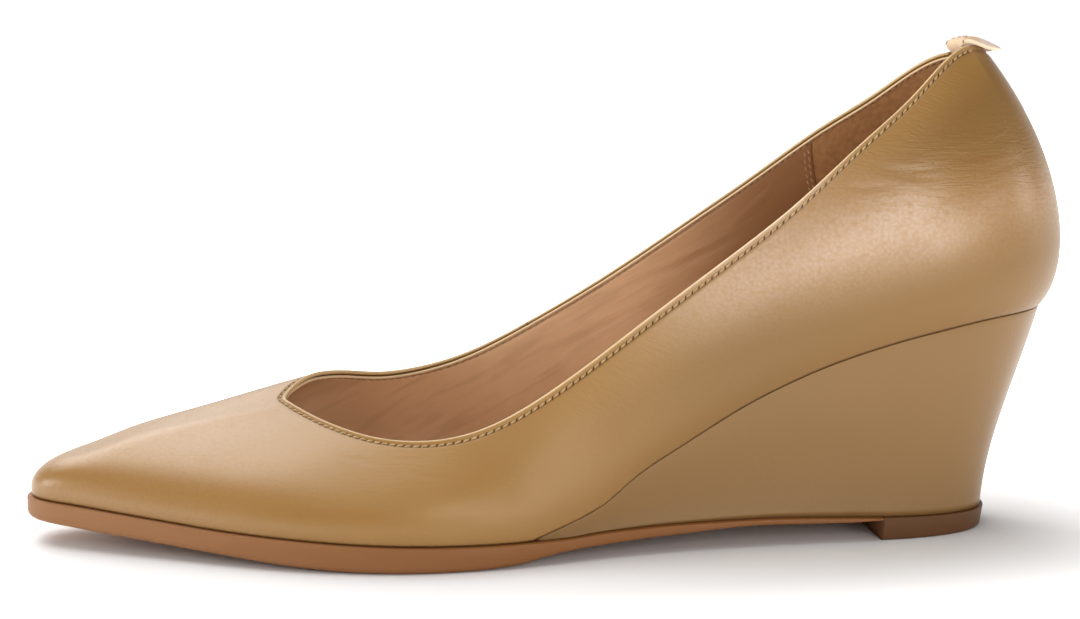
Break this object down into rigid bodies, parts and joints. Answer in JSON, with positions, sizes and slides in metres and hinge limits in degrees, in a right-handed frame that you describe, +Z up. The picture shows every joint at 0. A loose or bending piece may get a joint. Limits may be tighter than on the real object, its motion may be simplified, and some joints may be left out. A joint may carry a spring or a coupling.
{
  "type": "wedge shoe",
  "caption": "Pointed-toe pump on a wedge heel, for the left foot: a hollow leather upper with an open throat, a covered wedge, a rubber sole and a heel lift.",
  "frame": {"origin": "on the floor under the middle of the shoe's box", "axes": "+X from toe to heel, +Y to the medial (inner) side of this left shoe, +Z up from the floor"},
  "size_m": [0.2494, 0.0784, 0.1188],
  "materials": {
    "upper_leather": "smooth beige nappa, soft satin gloss",
    "lining_leather": "unfinished pink-tan lining leather, matt",
    "sole_rubber": "tan-brown rubber, matt",
    "lift_rubber": "darker brown rubber, matt"
  },
  "bodies": {
    "root": {"upper": "upper_leather", "insole": "lining_leather", "wedge": "upper_leather", "outsole": "sole_rubber", "heel_lift": "lift_rubber", "heel_tab": "lining_leather"}
  },
  "joints": []
}
